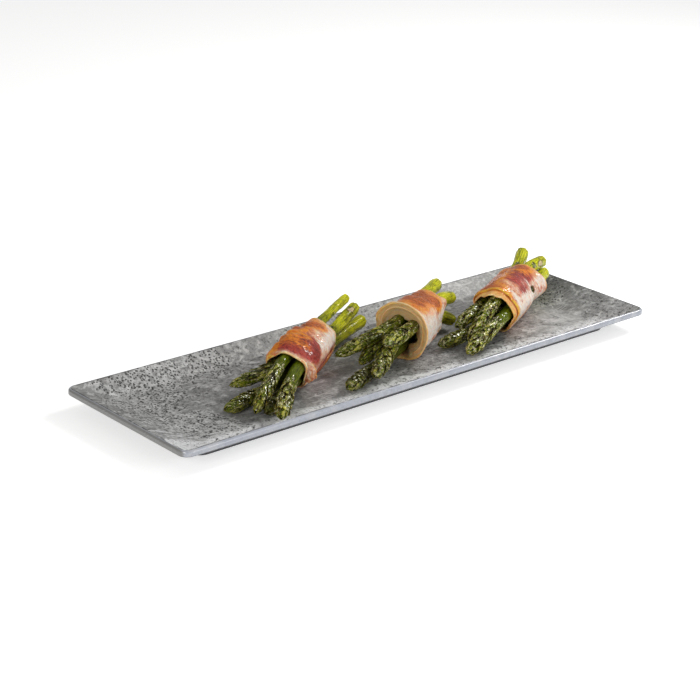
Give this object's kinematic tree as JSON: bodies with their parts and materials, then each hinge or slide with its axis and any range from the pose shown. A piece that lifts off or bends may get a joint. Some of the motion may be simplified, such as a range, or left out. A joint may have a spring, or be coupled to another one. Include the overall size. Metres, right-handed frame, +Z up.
{
  "type": "asparagus serving plate",
  "caption": "Long rectangular serving tray with sloping sides and a concrete decor, carrying bundles of asparagus wrapped in bacon that lift off it.",
  "frame": {"origin": "middle of the tray on the surface that it stands on", "axes": "+X along the tray's length, +Y across it, +Z up; the cut ends of the spears point towards +X and +Y"},
  "size_m": [0.53, 0.162, 0.0589],
  "materials": {
    "melamine": "satin",
    "decor": "satin",
    "asparagus": "gloss",
    "bacon": "gloss"
  },
  "bodies": {
    "tray": {"tray": "melamine", "concrete_decor": "decor"},
    "left_bundle": {"left_wrap": "bacon", "left_spear_1": "asparagus", "left_spear_2": "asparagus", "left_spear_3": "asparagus", "left_spear_4": "asparagus", "left_spear_5": "asparagus"},
    "middle_bundle": {"middle_wrap": "bacon", "middle_spear_1": "asparagus", "middle_spear_2": "asparagus", "middle_spear_3": "asparagus", "middle_spear_4": "asparagus", "middle_spear_5": "asparagus", "middle_spear_6": "asparagus"},
    "right_bundle": {"right_wrap": "bacon", "right_spear_1": "asparagus", "right_spear_2": "asparagus", "right_spear_3": "asparagus", "right_spear_4": "asparagus", "right_spear_5": "asparagus", "right_spear_6": "asparagus"}
  },
  "joints": [
    {"name": "left_lift", "type": "slide", "parent": "tray", "child": "left_bundle", "axis": [0, 0, 1], "range_m": [0, 0.08]},
    {"name": "middle_lift", "type": "slide", "parent": "tray", "child": "middle_bundle", "axis": [0, 0, 1], "range_m": [0, 0.08]},
    {"name": "right_lift", "type": "slide", "parent": "tray", "child": "right_bundle", "axis": [0, 0, 1], "range_m": [0, 0.08]}
  ]
}
